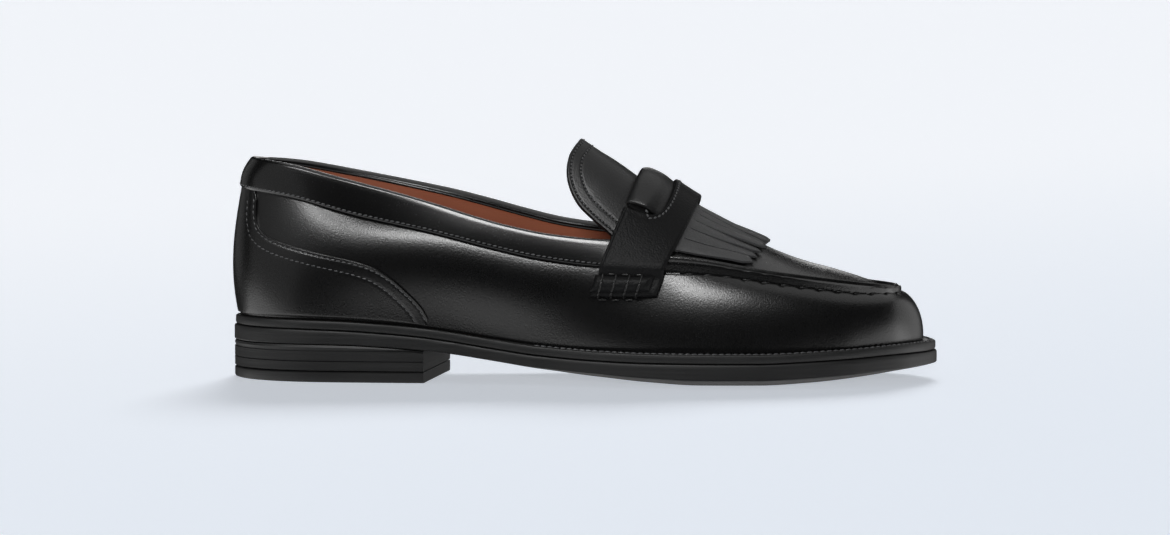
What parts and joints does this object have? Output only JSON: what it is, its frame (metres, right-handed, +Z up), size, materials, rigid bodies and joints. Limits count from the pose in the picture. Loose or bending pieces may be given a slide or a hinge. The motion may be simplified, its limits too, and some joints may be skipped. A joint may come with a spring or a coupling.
{
  "type": "kiltie loafer",
  "caption": "Low slip-on loafer with a raised apron seam, a cross strap holding a fringed kiltie and a rolled tab, a standing tongue, a welted sole and a stacked heel.",
  "frame": {"origin": "on the floor, under the middle of the shoe's bounding box", "axes": "+X from the heel to the toe, +Y to the inner side of this right shoe, +Z up"},
  "size_m": [0.2654, 0.0886, 0.0904],
  "materials": {
    "leather": "smooth black leather, polished",
    "sole": "satin black",
    "lining": "reddish brown lining leather, matt"
  },
  "bodies": {
    "root": {"outsole": "sole", "welt": "sole", "heel_block": "sole", "heel_top_piece": "sole", "insole": "lining", "upper": "leather", "counter": "leather", "collar_band": "leather", "tongue": "leather", "strap": "leather", "strap_end_outer": "leather", "strap_end_inner": "leather", "tab_roll": "leather", "kiltie": "leather"}
  },
  "joints": []
}
